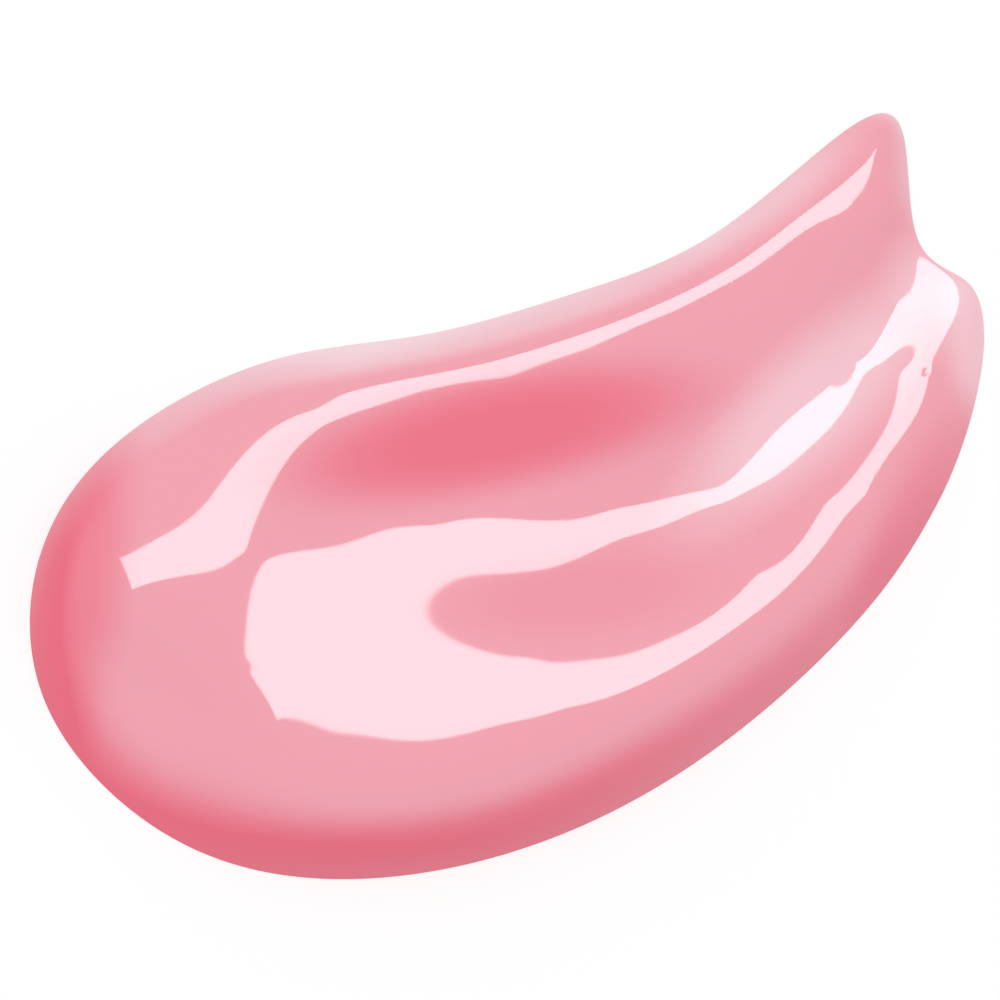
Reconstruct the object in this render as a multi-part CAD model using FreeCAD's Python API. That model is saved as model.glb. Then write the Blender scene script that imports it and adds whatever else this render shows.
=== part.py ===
import FreeCAD, Part
import math
import os

# A smear of lip gloss: one stroke of thick, clear pink gel, lying where it was
# drawn out on a flat surface. It is a single mass of gel, so it is one solid.
#
# Frame, in millimetres: +X runs along the stroke, from its round head to its
# pulled tail; +Y points to the side where the stroke was wiped thin, and -Y to the
# side where it piled up; +Z is up. The origin is in the middle of the footprint's
# box, on the surface that the gel lies on.

LENGTH = 42.0  # over the whole stroke, along X
WIDTH = 23.0  # over the whole stroke, along Y
THICKNESS = 3.25  # from the surface that the gel lies on to its highest crest

PILED_EDGE_ROLL = 5.7  # how far in from the outline the piled-up side's edge rounds over
WIPED_EDGE_ROLL = 2.2  # the same on the wiped side
EDGE_FULLNESS = 3.4  # 1 is a straight bevel, and more is a rounder, fuller edge
SIDE_LINE_Y = 1.3  # the line along the stroke where one side's edge becomes the other's
SIDE_BLEND = 2.0  # how gradually it does so

# The footprint: control points of a closed cubic curve, clockwise from the head.
OUTLINE = [
    (-21.8, 2.6), (-19.1, 8.4), (-14.0, 11.4), (-6.1, 11.7), (-0.6, 9.3), (6.1, 8.5),
    (11.9, 7.7), (20.0, 10.5), (21.8, 9.5), (18.8, 3.9), (21.3, 2.3), (20.7, 0.0),
    (19.8, -1.5), (18.5, -3.2), (17.0, -4.7), (15.8, -5.7), (12.8, -7.8), (8.5, -9.6),
    (3.1, -11.1), (-2.8, -11.7), (-9.3, -10.9), (-15.4, -8.4), (-19.6, -4.2),
]

# The top: x, y and height of spots along each of its features, before the edge is
# rounded over and the whole is scaled to THICKNESS. Two crests, pushed up by the sides
# of the applicator, meet round the head, and the trough that it wiped between them
# opens to the notch at the tail. A spot outside the outline steers the slope there.
# The heights were fitted, so that one soft light is mirrored in the right shapes.
WIPED_CREST = [
    (-16.0, 5.0, 2.67), (-11.0, 4.5, 2.78), (-5.5, 8.0, 2.54), (-3.0, 9.5, 2.06),
    (2.0, 5.5, 2.17), (5.5, 3.5, 1.86), (9.5, 6.5, 1.52), (17.5, 6.0, 0.99), (19.0, 9.5, 0.61),
]
TROUGH = [
    (-10.0, 4.0, 2.61), (-5.0, 4.5, 2.06), (-3.0, 2.0, 1.86), (3.5, 0.0, 1.41),
    (8.0, -2.0, 0.98), (14.0, 3.0, 1.10), (15.5, 1.0, 0.53), (17.0, 0.0, 0.74), (19.5, 4.5, 0.23),
]
TROUGH_FLANK = [(-2.5, -4.0, 2.86), (3.5, -4.5, 2.29), (7.5, -4.0, 1.75)]
PILED_CREST = [
    (-12.5, 0.5, 2.91), (-12.5, -2.0, 3.04), (-11.0, -4.5, 3.23), (-4.5, -8.0, 3.18),
    (-1.5, -6.0, 3.12), (8.0, -5.5, 2.08), (12.0, -3.5, 1.69), (20.5, 5.5, 0.65),
]
HEAD = [(-18.5, 4.5, 1.87), (-16.0, 0.0, 2.02), (-10.0, 12.0, 1.30)]

CURVE_STEPS = 8  # straight steps that stand for each stretch of the outline's curve
GRID_STEP = 0.5  # spacing of the points that the top surface passes through
GRID_MARGIN = 2.0  # how far the top surface runs on past the footprint before it is cut
DEEPEST = 4.0  # how far below the ground that surface may dive there


def closed_curve(points, steps):
    """Points along the closed uniform cubic B-spline that has these control points."""
    count = len(points)
    curve = []
    for i in range(count):
        a, b, c, d = (points[(i + k) % count] for k in (-1, 0, 1, 2))
        for step in range(steps):
            t = step / steps
            weights = (
                (1 - t) ** 3,
                3 * t**3 - 6 * t**2 + 4,
                -3 * t**3 + 3 * t**2 + 3 * t + 1,
                t**3,
            )
            curve.append(tuple(
                sum(w * p[axis] for w, p in zip(weights, (a, b, c, d))) / 6 for axis in (0, 1)
            ))
    return curve


def footprint():
    """The outline at its full size, and the map that takes drawn places to real ones."""
    drawn = closed_curve(OUTLINE, CURVE_STEPS)
    low = [min(p[axis] for p in drawn) for axis in (0, 1)]
    high = [max(p[axis] for p in drawn) for axis in (0, 1)]

    def place(x, y):
        return (
            LENGTH * ((x - low[0]) / (high[0] - low[0]) - 0.5),
            WIDTH * ((y - low[1]) / (high[1] - low[1]) - 0.5),
        )

    return [place(x, y) for x, y in drawn], place


def is_inside(x, y, outline):
    """Whether a point lies in the footprint: a ray from it crosses the outline oddly often."""
    inside = False
    for (ax, ay), (bx, by) in zip(outline, outline[1:] + outline[:1]):
        if (ay > y) != (by > y) and x < ax + (bx - ax) * (y - ay) / (by - ay):
            inside = not inside
    return inside


def distance_in(x, y, outline):
    """Distance in from the outline, smooth everywhere, and negative outside it.

    The inverse cubes of the distances to the whole outline are added up, so near an
    edge that edge counts for nearly all, and no crease forms half way between two.
    """
    total = 0.0
    for (ax, ay), (bx, by) in zip(outline, outline[1:] + outline[:1]):
        length = math.hypot(bx - ax, by - ay)
        ux, uy = (bx - ax) / length, (by - ay) / length
        along = (x - ax) * ux + (y - ay) * uy
        off = max(abs((x - ax) * uy - (y - ay) * ux), 1e-6)
        for end, sign in ((length - along, 1), (-along, -1)):
            total += sign * (end / (2 * off**2 * (off**2 + end**2))
                             + math.atan(end / off) / (2 * off**3))
    distance = (2 * total / math.pi) ** (-1 / 3)
    return distance if is_inside(x, y, outline) else -distance


def solve(rows):
    """The solution of a set of linear equations, each row ending in its right-hand side."""
    count = len(rows)
    for i in range(count):
        pivot = max(range(i, count), key=lambda k: abs(rows[k][i]))
        rows[i], rows[pivot] = rows[pivot], rows[i]
        for k in range(i + 1, count):
            share = rows[k][i] / rows[i][i]
            if share:
                rows[k] = [a - share * b for a, b in zip(rows[k], rows[i])]
    answer = [0.0] * count
    for i in reversed(range(count)):
        known = sum(rows[i][k] * answer[k] for k in range(i + 1, count))
        answer[i] = (rows[i][count] - known) / rows[i][i]
    return answer


def bend(dx, dy):
    """How a thin sheet lifted at one spot rises at this offset from it."""
    square = dx * dx + dy * dy
    return 0.5 * square * math.log(square) if square else 0.0


def sheet_through(spots):
    """The height of a thin springy sheet that passes through all the spots."""
    rows = []
    for x, y, height in spots:
        rows.append([bend(x - sx, y - sy) for sx, sy, _ in spots] + [1.0, x, y, height])
    for terms in ([1.0] * len(spots), [s[0] for s in spots], [s[1] for s in spots]):
        rows.append(terms + [0.0] * 4)
    *lifts, level, slope_x, slope_y = solve(rows)

    def height(x, y):
        bent = sum(lift * bend(x - sx, y - sy) for lift, (sx, sy, _) in zip(lifts, spots))
        return level + slope_x * x + slope_y * y + bent

    return height


def edge_share(x, y, outline):
    """The share of the full height that stands here: 0 at the outline, 1 past the edge's roll."""
    distance = distance_in(x, y, outline)
    wiped = 1 / (1 + math.exp(-(y - SIDE_LINE_Y) / SIDE_BLEND))
    roll = PILED_EDGE_ROLL + (WIPED_EDGE_ROLL - PILED_EDGE_ROLL) * wiped
    if distance < 0:
        return EDGE_FULLNESS * distance / roll
    return 1 - (1 - min(distance / roll, 1)) ** EDGE_FULLNESS


def top_heights(xs, ys):
    """The gel's height at each crossing of the grid, negative outside the footprint."""
    outline, place = footprint()
    drawn = WIPED_CREST + TROUGH + TROUGH_FLANK + PILED_CREST + HEAD
    sheet = sheet_through([(*place(x, y), height) for x, y, height in drawn])
    heights = [[sheet(x, y) * edge_share(x, y, outline) for y in ys] for x in xs]
    scale = THICKNESS / max(max(row) for row in heights)
    return [[max(scale * height, -DEEPEST) for height in row] for row in heights]


def grid_line(size):
    """Evenly spaced coordinates that cover one side of the footprint and its margin."""
    steps = math.ceil((size / 2 + GRID_MARGIN) / GRID_STEP)
    return [GRID_STEP * i for i in range(-steps, steps + 1)]


def gloss_smear():
    """The gel: the block under the top surface, cut off level with the ground."""
    xs, ys = grid_line(LENGTH), grid_line(WIDTH)
    heights = top_heights(xs, ys)
    top = Part.BSplineSurface()
    top.interpolate([
        [FreeCAD.Vector(x, y, height) for y, height in zip(ys, row)]
        for x, row in zip(xs, heights)
    ])
    block = top.toShape().extrude(FreeCAD.Vector(0, 0, -3 * DEEPEST))
    above_ground = Part.makeBox(
        2 * LENGTH, 2 * WIDTH, 2 * THICKNESS, FreeCAD.Vector(-LENGTH, -WIDTH, 0)
    )
    pieces = block.common(above_ground).Solids
    return max(pieces, key=lambda piece: piece.Volume)


def write_part(name, shape):
    """Save one piece as parts/NAME.step and print its size."""
    box = shape.optimalBoundingBox()
    print(f"{name}: {box.XLength:.2f} x {box.YLength:.2f} x {box.ZLength:.2f} mm,"
          f" centre {box.Center.x:.3f}, {box.Center.y:.3f},"
          f" {shape.Volume:.0f} mm3, valid {shape.isValid()}")
    shape.exportStep(os.path.join("parts", f"{name}.step"))


os.makedirs("parts", exist_ok=True)
write_part("gloss_smear", gloss_smear())
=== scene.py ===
# %% [markdown]
# # A smear of lip gloss
#
# The object is one stroke of thick, clear pink lip gloss on a flat surface. It has a
# plump round head, two crests with a shallow trough wiped between them, and a pulled
# tail with a notch. There is only one piece, so nearly all of the work goes into two
# things: a skin smooth enough to hold clean reflections, and a colour that deepens
# where the gel is steep or thick and pales where it is thin.
#
# The construction model is loaded first. It fixes the size and the place of the gel,
# and the outline, the spots and the thickness below are scaled to its box.

import math

import bpy
import numpy as np
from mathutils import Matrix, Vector


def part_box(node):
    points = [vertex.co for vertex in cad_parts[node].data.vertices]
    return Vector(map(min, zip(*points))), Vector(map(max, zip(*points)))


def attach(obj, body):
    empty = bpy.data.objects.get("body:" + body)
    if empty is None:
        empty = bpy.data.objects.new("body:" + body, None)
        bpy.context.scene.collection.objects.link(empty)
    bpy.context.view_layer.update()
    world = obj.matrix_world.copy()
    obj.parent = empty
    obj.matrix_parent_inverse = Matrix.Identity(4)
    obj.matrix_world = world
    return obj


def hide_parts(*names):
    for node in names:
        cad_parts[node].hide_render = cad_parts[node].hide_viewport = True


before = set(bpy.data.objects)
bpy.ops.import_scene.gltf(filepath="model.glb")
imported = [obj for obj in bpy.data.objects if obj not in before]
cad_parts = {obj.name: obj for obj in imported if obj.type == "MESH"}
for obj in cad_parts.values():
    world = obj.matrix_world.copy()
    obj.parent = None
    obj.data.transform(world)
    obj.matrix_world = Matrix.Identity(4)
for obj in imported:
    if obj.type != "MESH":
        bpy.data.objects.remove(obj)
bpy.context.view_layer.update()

MM = 0.001
low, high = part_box("gloss_smear")
size = high - low
print("the gel's box, mm:", [round(side / MM, 2) for side in size])

# %% [markdown]
# ## The camera
#
# The smear is seen from straight above. A long lens keeps the view nearly parallel, as
# in a product close-up. The camera is rolled so that the stroke runs up to the right.

# %% Camera
VIEW_WIDTH = 41.22 * MM  # what the picture spans at the height of the surface
STROKE_TILT = math.radians(25)  # the stroke's rise from the picture's horizontal
LENS = 400.0  # mm
SENSOR = 36.0  # mm
AIM_X, AIM_Y = -0.48 * MM, 2.11 * MM  # the spot on the surface in the picture's middle

camera_height = LENS / SENSOR * VIEW_WIDTH
aim = Vector((AIM_X, AIM_Y, 0))

camera_data = bpy.data.cameras.new("camera")
camera_data.lens = LENS
camera_data.sensor_width = SENSOR
camera = bpy.data.objects.new("camera", camera_data)
camera.location = aim + Vector((0, 0, camera_height))
camera.rotation_euler = (0, 0, -STROKE_TILT)
bpy.context.scene.collection.objects.link(camera)
bpy.context.scene.camera = camera
print("camera height, mm:", round(camera_height / MM, 1))

# %% [markdown]
# ## The footprint
#
# The outline of the gel is where its skin meets the surface. It is a closed cubic curve,
# drawn by the pull of a few control points: at the notch and the tail's tip it turns
# sharply, and elsewhere it runs in long even bends. The drawn curve is then scaled to
# the frame's box, so that it stays in step with the construction model.

# %% Outline
OUTLINE = [
    (-21.8, 2.6), (-19.1, 8.4), (-14.0, 11.4), (-6.1, 11.7), (-0.6, 9.3), (6.1, 8.5),
    (11.9, 7.7), (20.0, 10.5), (21.8, 9.5), (18.8, 3.9), (21.3, 2.3), (20.7, 0.0),
    (19.8, -1.5), (18.5, -3.2), (17.0, -4.7), (15.8, -5.7), (12.8, -7.8), (8.5, -9.6),
    (3.1, -11.1), (-2.8, -11.7), (-9.3, -10.9), (-15.4, -8.4), (-19.6, -4.2),
]
CURVE_STEPS = 40  # straight steps that stand for each stretch of the curve


def closed_curve(points, steps):
    """Points along the closed uniform cubic B-spline with these control points."""
    points = np.array(points)
    t = np.arange(steps)[:, None] / steps
    weights = (
        (1 - t) ** 3,
        3 * t**3 - 6 * t**2 + 4,
        -3 * t**3 + 3 * t**2 + 3 * t + 1,
        t**3,
    )
    spans = [
        sum(w * points[(i + k) % len(points)] for w, k in zip(weights, (-1, 0, 1, 2))) / 6
        for i in range(len(points))
    ]
    return np.vstack(spans)


drawn = closed_curve(OUTLINE, CURVE_STEPS)
drawn_low, drawn_size = drawn.min(0), np.ptp(drawn, axis=0)


def place(points):
    """Drawn places in the frame's own millimetres."""
    box_low = np.array(low[:2]) / MM
    box_size = np.array(size[:2]) / MM
    return box_low + (np.asarray(points) - drawn_low) / drawn_size * box_size


outline = place(drawn)
print("outline points:", len(outline))

# %% [markdown]
# ## The rise of the skin
#
# Two things shape the skin. The applicator pushed the gel up into two crests, which
# meet round the head, and wiped a trough between them. Surface tension then rounded
# the edge over where the gel meets the surface.
#
# The first is modelled as a thin springy sheet held at spots along each feature: such
# a sheet has no creases, and neither has a gel that has settled. The second is a share
# of the full height that grows from 0 at the outline. It grows over a wide band on the
# piled-up side and over a narrow one on the wiped side.
#
# A spot outside the outline steers the slope there. The heights were fitted, so that
# one soft light is mirrored in the right shapes.

# %% Spots that hold the sheet
WIPED_CREST = [
    (-16.0, 5.0, 2.67), (-11.0, 4.5, 2.78), (-5.5, 8.0, 2.54), (-3.0, 9.5, 2.06),
    (2.0, 5.5, 2.17), (5.5, 3.5, 1.86), (9.5, 6.5, 1.52), (17.5, 6.0, 0.99), (19.0, 9.5, 0.61),
]
TROUGH = [
    (-10.0, 4.0, 2.61), (-5.0, 4.5, 2.06), (-3.0, 2.0, 1.86), (3.5, 0.0, 1.41),
    (8.0, -2.0, 0.98), (14.0, 3.0, 1.10), (15.5, 1.0, 0.53), (17.0, 0.0, 0.74), (19.5, 4.5, 0.23),
]
TROUGH_FLANK = [(-2.5, -4.0, 2.86), (3.5, -4.5, 2.29), (7.5, -4.0, 1.75)]
PILED_CREST = [
    (-12.5, 0.5, 2.91), (-12.5, -2.0, 3.04), (-11.0, -4.5, 3.23), (-4.5, -8.0, 3.18),
    (-1.5, -6.0, 3.12), (8.0, -5.5, 2.08), (12.0, -3.5, 1.69), (20.5, 5.5, 0.65),
]
HEAD = [(-18.5, 4.5, 1.87), (-16.0, 0.0, 2.02), (-10.0, 12.0, 1.30)]
TINY = 1e-12  # keeps the logarithm finite at a spot itself


def bend(offsets):
    """How a thin sheet lifted at one spot rises at these offsets from it."""
    square = (offsets**2).sum(-1)
    return 0.5 * square * np.log(np.maximum(square, TINY))


def sheet_through(spots):
    """The height, as a function of place, of a springy sheet through all the spots."""
    spots = np.array(spots)
    held, heights = place(spots[:, :2]), spots[:, 2]
    count = len(spots)
    rows = np.zeros((count + 3, count + 3))
    rows[:count, :count] = bend(held[:, None] - held[None])
    rows[:count, count] = rows[count, :count] = 1
    rows[:count, count + 1:] = held
    rows[count + 1:, :count] = held.T
    answer = np.linalg.solve(rows, np.append(heights, [0, 0, 0]))

    def height(points):
        bent = bend(points[:, None] - held[None]) @ answer[:count]
        return bent + answer[count] + points @ answer[count + 1:]

    return height


sheet = sheet_through(WIPED_CREST + TROUGH + TROUGH_FLANK + PILED_CREST + HEAD)
print("sheet over the head, mm:", sheet(np.array([[-14.0, 0.0]])).round(2))

# %% [markdown]
# The distance in from the outline decides how far the edge has rounded over. The plain
# distance to the nearest edge has a crease half way between two edges, and a crease
# would show as a kink in every highlight. So the inverse cubes of the distances to the
# whole outline are added up instead, which is smooth and still right near an edge.

# %% The rounded edge
PILED_EDGE_ROLL = 5.7  # how far in from the outline the piled-up side's edge rounds over
WIPED_EDGE_ROLL = 2.2  # the same on the wiped side
EDGE_FULLNESS = 3.4  # 1 is a straight bevel, and more is a rounder, fuller edge
SIDE_LINE_Y = 1.3  # the line along the stroke where one side's edge becomes the other's
SIDE_BLEND = 2.0  # how gradually it does so
HAIR = 1e-5  # mm, keeps points in line with an edge from dividing by zero
BATCH = 4000  # points measured at once


def distance_in(points):
    """Smooth distance from points inside the outline to the outline."""
    ends = np.roll(outline, -1, axis=0)
    lengths = np.hypot(*(ends - outline).T)
    along_edge = (ends - outline) / lengths[:, None]
    found = []
    for some in np.array_split(points, max(len(points) // BATCH, 1)):
        offset = some[:, None] - outline[None]
        along = (offset * along_edge).sum(-1)
        off = offset[..., 0] * along_edge[:, 1] - offset[..., 1] * along_edge[:, 0]
        off = np.maximum(abs(off), HAIR)
        total = 0
        for end, sign in ((lengths - along, 1), (-along, -1)):
            bow = end / (2 * off**2 * (off**2 + end**2)) + np.arctan(end / off) / (2 * off**3)
            total = total + sign * bow
        found.append((2 * total.sum(1) / math.pi) ** (-1 / 3))
    return np.concatenate(found)


def edge_share(points):
    """The share of the full height at each point: 0 at the outline, 1 past the roll."""
    wiped = 1 / (1 + np.exp(-(points[:, 1] - SIDE_LINE_Y) / SIDE_BLEND))
    roll = PILED_EDGE_ROLL + (WIPED_EDGE_ROLL - PILED_EDGE_ROLL) * wiped
    return 1 - (1 - np.clip(distance_in(points) / roll, 0, 1)) ** EDGE_FULLNESS


def gel_height(points):
    """Height of the skin, before it is fitted to the frame's thickness."""
    return sheet(points) * edge_share(points)


# %% [markdown]
# ## The mesh
#
# A fine square grid would leave a stepped rim. The outline can be seen all round from
# a point near the middle, so the mesh is made of rings instead: each ring is a smaller
# copy of the outline, and the rings crowd together near the rim, where the skin is
# steepest. The underside is flat and closes the mesh.

# %% Rings of points
SPOKES = 720
RINGS = 110
RIM_CROWDING = 2.2  # 1 spaces the rings evenly, and more crowds them near the rim
INNERMOST = 0.985  # how far in the last ring lies, where the hub is at 1
HUB = np.array([0.0, -0.6])  # mm


def even_loop(points, count):
    """The same closed loop with evenly spaced points."""
    closed = np.vstack([points, points[:1]])
    travelled = np.append(0, np.cumsum(np.hypot(*np.diff(closed, axis=0).T)))
    wanted = np.linspace(0, travelled[-1], count, endpoint=False)
    return np.stack([np.interp(wanted, travelled, closed[:, axis]) for axis in (0, 1)], axis=1)


rim = even_loop(outline, SPOKES)
shares = 1 - (np.arange(RINGS) / RINGS) ** RIM_CROWDING * INNERMOST
rings = HUB + shares[:, None, None] * (rim - HUB)[None]
flat = np.vstack([rings.reshape(-1, 2), HUB[None]])
heights = gel_height(flat)
heights[:SPOKES] = 0
heights *= size.z / MM / heights.max()
print("skin points:", len(flat), " tallest, mm:", heights.max().round(2))

# %% [markdown]
# The rings are joined by four-sided faces, the innermost ring closes on the hub, and a
# fan of flat faces from the rim to a point below the hub makes the underside. Only the
# underside is flat-shaded, so the rim keeps a clean edge.

# %% Faces


def gel_mesh(name):
    """A closed mesh: the skin's rings and hub, and a flat underside."""
    points = np.column_stack([flat, heights]) * MM
    points[:, 2] += low.z
    hub = len(flat) - 1
    under_hub = hub + 1
    points = np.vstack([points, [[*(HUB * MM), low.z]]])
    faces = []
    for ring in range(RINGS - 1):
        outer, inner = ring * SPOKES, (ring + 1) * SPOKES
        for i in range(SPOKES):
            j = (i + 1) % SPOKES
            faces.append((outer + i, inner + i, inner + j, outer + j))
    last = (RINGS - 1) * SPOKES
    for i in range(SPOKES):
        j = (i + 1) % SPOKES
        faces.append((last + i, hub, last + j))
        faces.append((i, j, under_hub))
    mesh = bpy.data.meshes.new(name)
    mesh.from_pydata(points.tolist(), [], faces)
    mesh.validate()
    for face in mesh.polygons:
        face.use_smooth = under_hub not in face.vertices
    return mesh


gel = bpy.data.objects.new("gloss_gel_body", gel_mesh("gloss_gel_body"))
bpy.context.scene.collection.objects.link(gel)
print("faces:", len(gel.data.polygons))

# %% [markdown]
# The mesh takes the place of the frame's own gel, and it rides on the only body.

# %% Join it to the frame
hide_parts("gloss_smear")
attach(gel, "root")
print("in place of gloss_smear:", gel.name)

# %% [markdown]
# ## The gel's colour
#
# Clear tinted gel has no colour of its own at its surface. What shows is the light that
# comes back through it, and the longer the way through the gel, the deeper the pink. So
# one number drives the colour, the depth of tint, and a colour ramp turns it into pink.
# The same number also carries painted shade and painted light.
#
# The depth starts the same all over. On the steep rim painted shade deepens it, whichever
# way the rim faces, and partly stands for the longer way through the gel seen edge-on. The
# painted shade is deepest round the head and along the piled-up side, which are turned
# away from the light, and painted light pales the rim on the wiped side and at the tail,
# which are turned towards it, where the gel also thins out.
#
# The helpers below keep the node work short: each makes one node, feeds its inputs and
# gives back its output.

# %% Node helpers


def new_material(name):
    """A node material, its node tree and its Principled shader."""
    material = bpy.data.materials.new(name)
    material.use_nodes = True
    return material, material.node_tree, material.node_tree.nodes["Principled BSDF"]


def feed(tree, socket, value):
    """Give an input socket a value, or a link if the value is another node's output."""
    if isinstance(value, bpy.types.NodeSocket):
        tree.links.new(value, socket)
    else:
        socket.default_value = value


def maths(tree, operation, *values):
    """The output of a Math node on these values."""
    node = tree.nodes.new("ShaderNodeMath")
    node.operation = operation
    for socket, value in zip(node.inputs, values):
        feed(tree, socket, value)
    return node.outputs[0]


def vector_maths(tree, operation, *values, output=0):
    """The output of a Vector Math node on these values."""
    node = tree.nodes.new("ShaderNodeVectorMath")
    node.operation = operation
    for socket, value in zip(node.inputs, values):
        feed(tree, socket, value)
    return node.outputs[output]


def smooth_step(tree, value, low_end, high_end):
    """0 below the low end, 1 above the high end, and a smooth rise between."""
    node = tree.nodes.new("ShaderNodeMapRange")
    node.interpolation_type = "SMOOTHSTEP"
    feed(tree, node.inputs["Value"], value)
    feed(tree, node.inputs["From Min"], low_end)
    feed(tree, node.inputs["From Max"], high_end)
    return node.outputs["Result"]


print("ready: new_material, feed, maths, vector_maths, smooth_step")

# %% [markdown]
# Slope alone can't tell where the gel is deep or thin, so soft oval patches of tint are
# laid on it as well, and one patch of painted shade. One node group makes the mask of a
# patch: 1 in the middle, and a smooth fall to 0 past the oval. It works in the gel's own
# plan, so a patch stays where it is when the gel is moved or turned.

# %% A soft patch of tint
PATCH_SOLID, PATCH_GONE = 0.35, 1.35  # in half sizes from the patch's middle


def soft_patch_group():
    """A node group: a soft oval mask round a place on the gel, in its own plan."""
    group = bpy.data.node_groups.new("soft_patch", "ShaderNodeTree")
    for name, kind in (
        ("Centre", "NodeSocketVector"),
        ("Turn", "NodeSocketFloat"),
        ("Half Length", "NodeSocketFloat"),
        ("Half Width", "NodeSocketFloat"),
    ):
        group.interface.new_socket(name, in_out="INPUT", socket_type=kind)
    group.interface.new_socket("Mask", in_out="OUTPUT", socket_type="NodeSocketFloat")
    inputs = group.nodes.new("NodeGroupInput").outputs
    result = group.nodes.new("NodeGroupOutput").inputs
    position = group.nodes.new("ShaderNodeTexCoord").outputs["Object"]
    offset = vector_maths(group, "SUBTRACT", position, inputs["Centre"])
    turned = group.nodes.new("ShaderNodeVectorRotate")
    turned.rotation_type = "Z_AXIS"
    group.links.new(offset, turned.inputs["Vector"])
    group.links.new(maths(group, "MULTIPLY", inputs["Turn"], -1.0), turned.inputs["Angle"])
    parts = group.nodes.new("ShaderNodeSeparateXYZ")
    group.links.new(turned.outputs[0], parts.inputs[0])
    along = maths(group, "DIVIDE", parts.outputs["X"], inputs["Half Length"])
    across = maths(group, "DIVIDE", parts.outputs["Y"], inputs["Half Width"])
    square = maths(group, "ADD", maths(group, "POWER", along, 2.0), maths(group, "POWER", across, 2.0))
    fade = smooth_step(group, maths(group, "SQRT", square), PATCH_SOLID, PATCH_GONE)
    group.links.new(maths(group, "SUBTRACT", 1.0, fade), result["Mask"])
    return group


SOFT_PATCH = soft_patch_group()


def soft_patch(tree, centre, turn, half_length, half_width):
    """The mask of one soft patch, its centre and half sizes in millimetres."""
    node = tree.nodes.new("ShaderNodeGroup")
    node.node_tree = SOFT_PATCH
    node.inputs["Centre"].default_value = (centre[0] * MM, centre[1] * MM, 0)
    node.inputs["Turn"].default_value = math.radians(turn)
    node.inputs["Half Length"].default_value = half_length * MM
    node.inputs["Half Width"].default_value = half_width * MM
    return node.outputs["Mask"]


sockets = SOFT_PATCH.interface.items_tree
print("patch inputs:", [socket.name for socket in sockets if socket.in_out == "INPUT"])

# %% [markdown]
# The patches deepen and pale the pink. The one in the trough close under the wiped crest
# is painted shade, on the flank turned away from the light. The pink is also made deeper
# on the outer side of the head. It is palest at the trough's open end, along the tail's
# upper edge and round the notch, where only a film is left.

# %% Gel
BASE_DEPTH = 1.0
# painted shade on the rim turned away from the light, and painted light on the rim turned towards it
RIM_SHADE_BY_FACING = (-0.95, -0.56, 0.0)  # the depth that the rim gains by facing each way
RIM_SHADE_DEPTH = 0.21  # the depth that it gains whichever way it faces
RIM_STARTS, RIM_FULL = 0.25, 0.75  # sine of the skin's tilt
GEL_ROUGHNESS = 0.05
GEL_IOR = 1.58
PATCHES = {  # centre, turn in degrees, half length, half width, change of depth
    # painted shade: the flank under the wiped crest is turned away from the light
    "painted shade under the wiped crest": ((0.5, 4.7), -13, 8.6, 2.3, 0.65),
    "outer side of the head": ((-17.5, 7.0), 58, 7.5, 2.3, 0.38),
    "foot of the piled crest": ((14.5, -6.0), 40, 5.0, 1.6, 0.25),
    "saddle of the piled crest": ((1.0, -2.8), -19, 5.5, 1.8, 0.14),
    "wash at the trough's open end": ((12.8, 0.3), 18, 7.3, 2.4, -0.4),
    "upper edge of the tail": ((14.5, 8.8), 10, 4.5, 1.3, -0.32),
    "end of the piled crest": ((20.2, -0.5), 75, 3.5, 1.6, -0.38),
    "thin film at the notch": ((19.6, 3.2), 0, 2.0, 2.0, -0.2),
}
TINTS = [  # depth, colour
    (0.3, (0.97, 0.78, 0.81)),
    (0.6, (0.93, 0.55, 0.62)),
    (1.0, (0.89, 0.35, 0.42)),
    (1.4, (0.88, 0.21, 0.29)),
    (1.8, (0.86, 0.12, 0.20)),
]
DEEPEST_TINT = 2.0

material, tree, shader = new_material("clear_pink_gel")
facing = tree.nodes.new("ShaderNodeNewGeometry").outputs["Normal"]
level = vector_maths(tree, "MULTIPLY", facing, (1, 1, 0))
steepness = vector_maths(tree, "LENGTH", level, output=1)
rim = smooth_step(tree, steepness, RIM_STARTS, RIM_FULL)
# painted shade and painted light on the steep rim, by the way it faces
rim_painted_shade = maths(tree, "ADD", vector_maths(tree, "DOT_PRODUCT", facing, RIM_SHADE_BY_FACING, output=1), RIM_SHADE_DEPTH)
tint_and_painted_shade = maths(tree, "MULTIPLY_ADD", rim, rim_painted_shade, BASE_DEPTH)
for centre, turn, half_length, half_width, change in PATCHES.values():
    tint_and_painted_shade = maths(tree, "MULTIPLY_ADD", soft_patch(tree, centre, turn, half_length, half_width),
                  change, tint_and_painted_shade)
ramp = tree.nodes.new("ShaderNodeValToRGB")
tree.links.new(maths(tree, "DIVIDE", tint_and_painted_shade, DEEPEST_TINT), ramp.inputs["Fac"])
stops = ramp.color_ramp.elements
while len(stops) < len(TINTS):
    stops.new(1.0)
for stop, (tint_depth, colour) in zip(stops, TINTS):
    stop.position = tint_depth / DEEPEST_TINT
    stop.color = (*colour, 1)
tree.links.new(ramp.outputs["Color"], shader.inputs["Base Color"])
shader.inputs["Roughness"].default_value = GEL_ROUGHNESS
shader.inputs["IOR"].default_value = GEL_IOR
gel.data.materials.append(material)
print("patches:", len(PATCHES), " tints:", len(TINTS))

# %% [markdown]
# ## The ground
#
# The gel lies on plain white. The floor is set a hair below the underside, so that the
# two never fight for the same place. A faint glow lifts the floor to full white. Only
# the camera sees it, straight or by rays mirrored or let through to it, so it adds no
# light to the gel's own colour.

# %% Floor
FLOOR_HALF = 600 * MM
FLOOR_GAP = 0.02 * MM
FLOOR_LIFT = 0.08
FLOOR_WHITE = (0.95, 0.95, 0.95, 1)
FLOOR_ROUGHNESS = 0.9

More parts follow.
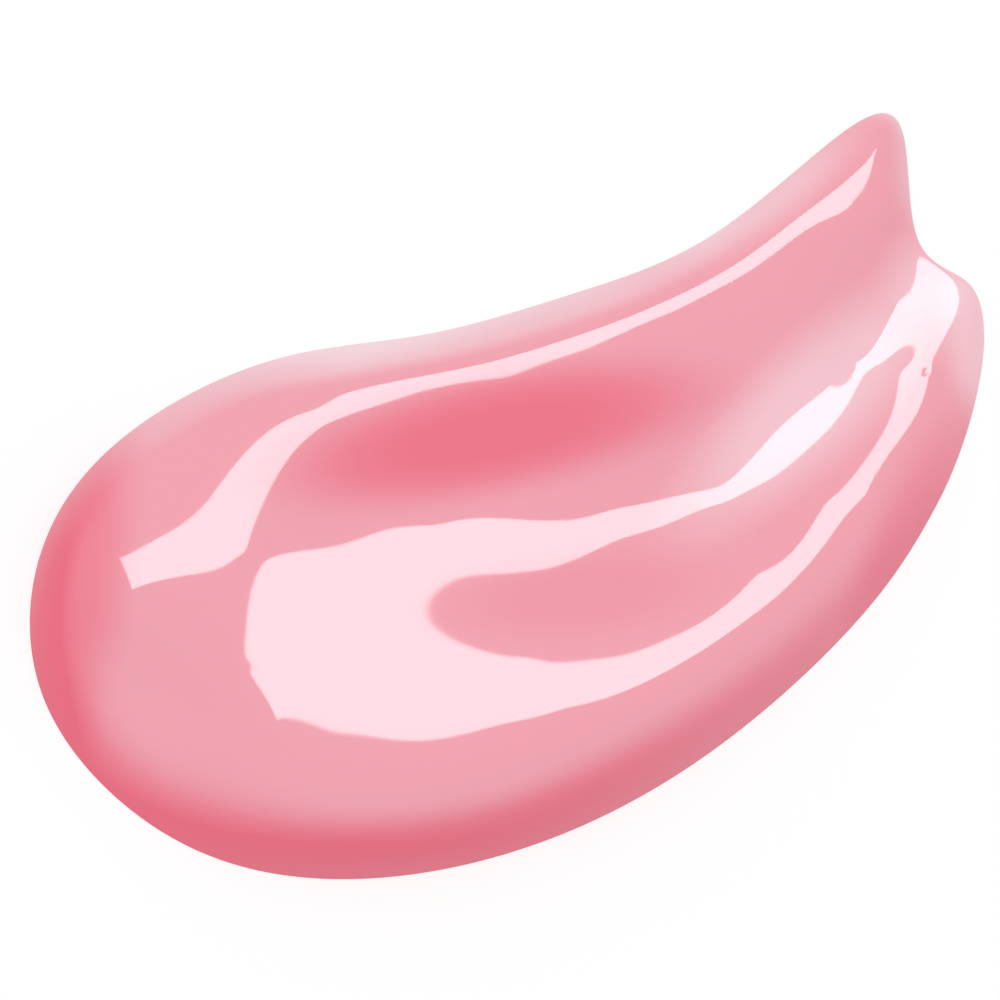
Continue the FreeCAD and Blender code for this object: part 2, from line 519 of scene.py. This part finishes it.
floor_mesh = bpy.data.meshes.new("floor")
corners = [(-1, -1), (1, -1), (1, 1), (-1, 1)]
floor_mesh.from_pydata([(x * FLOOR_HALF, y * FLOOR_HALF, 0) for x, y in corners], [], [(0, 1, 2, 3)])
floor = bpy.data.objects.new("floor", floor_mesh)
floor.location.z = low.z - FLOOR_GAP
bpy.context.scene.collection.objects.link(floor)


def seen_directly(tree):
    """1 for rays from the camera, or mirrored or let through to it, and 0 for the rest."""
    path = tree.nodes.new("ShaderNodeLightPath").outputs
    seen = maths(tree, "MAXIMUM", path["Is Camera Ray"], path["Is Glossy Ray"])
    return maths(tree, "MAXIMUM", seen, path["Is Transmission Ray"])


floor_material, floor_tree, floor_shader = new_material("white_surface")
floor_shader.inputs["Base Color"].default_value = FLOOR_WHITE
floor_shader.inputs["Roughness"].default_value = FLOOR_ROUGHNESS
floor_shader.inputs["Specular IOR Level"].default_value = 0.0
floor_shader.inputs["Emission Color"].default_value = (1, 1, 1, 1)
floor_tree.links.new(maths(floor_tree, "MULTIPLY", seen_directly(floor_tree), FLOOR_LIFT),
                     floor_shader.inputs["Emission Strength"])
floor_mesh.materials.append(floor_material)
print("floor top, mm:", round(floor.location.z / MM, 2))

# %% [markdown]
# ## The lights
#
# The white shapes on the gel are one softbox, mirrored in the skin. Wherever the skin
# tilts towards it by about half of its angle from straight up, it is sent to the camera.
# So the softbox's four edges set the outlines of all the highlights. They are given as
# shares of its height: how far out its near and far edges are, along its azimuth, and
# how far it reaches to either side.

# %% Softbox
LIGHT_HEIGHT = 3.0  # m
LIGHT_AZIMUTH = math.radians(88)
NEAR_EDGE, FAR_EDGE, HALF_WIDTH = 0.052, 0.36, 0.36  # shares of the height
SOFTBOX_RADIANCE = 7.0

near, far, side = (share * LIGHT_HEIGHT for share in (NEAR_EDGE, FAR_EDGE, HALF_WIDTH))
towards = Vector((math.cos(LIGHT_AZIMUTH), math.sin(LIGHT_AZIMUTH), 0))
softbox_data = bpy.data.lights.new("softbox", "AREA")
softbox_data.shape = "RECTANGLE"
softbox_data.size = 2 * side
softbox_data.size_y = far - near
softbox_data.energy = SOFTBOX_RADIANCE * math.pi * softbox_data.size * softbox_data.size_y
softbox = bpy.data.objects.new("softbox", softbox_data)
softbox.location = towards * (near + far) / 2 + Vector((0, 0, LIGHT_HEIGHT))
softbox.rotation_euler = (0, 0, LIGHT_AZIMUTH - math.pi / 2)
bpy.context.scene.collection.objects.link(softbox)
print("softbox, m:", round(softbox_data.size, 2), "x", round(softbox_data.size_y, 2))

# %% [markdown]
# The rest of the studio is an even white room. The gel is lit by only a part of it, so
# that the softbox can model its form, while the camera still sees full white behind.

# %% Room
SKY_FILL = 0.56  # the share of the room that lights the gel

world = bpy.data.worlds.new("studio")
bpy.context.scene.world = world
world.use_nodes = True
world.node_tree.nodes["Background"].inputs["Color"].default_value = (1, 1, 1, 1)
fill = world.node_tree
fill_strength = maths(fill, "MULTIPLY_ADD", seen_directly(fill), 1 - SKY_FILL, SKY_FILL)
fill.links.new(fill_strength, fill.nodes["Background"].inputs["Strength"])
print("fill:", SKY_FILL)

# %% [markdown]
# ## Finish
#
# The colours are shown as they are, with no film curve.

# %% Finish
bpy.context.scene.view_settings.view_transform = "Standard"
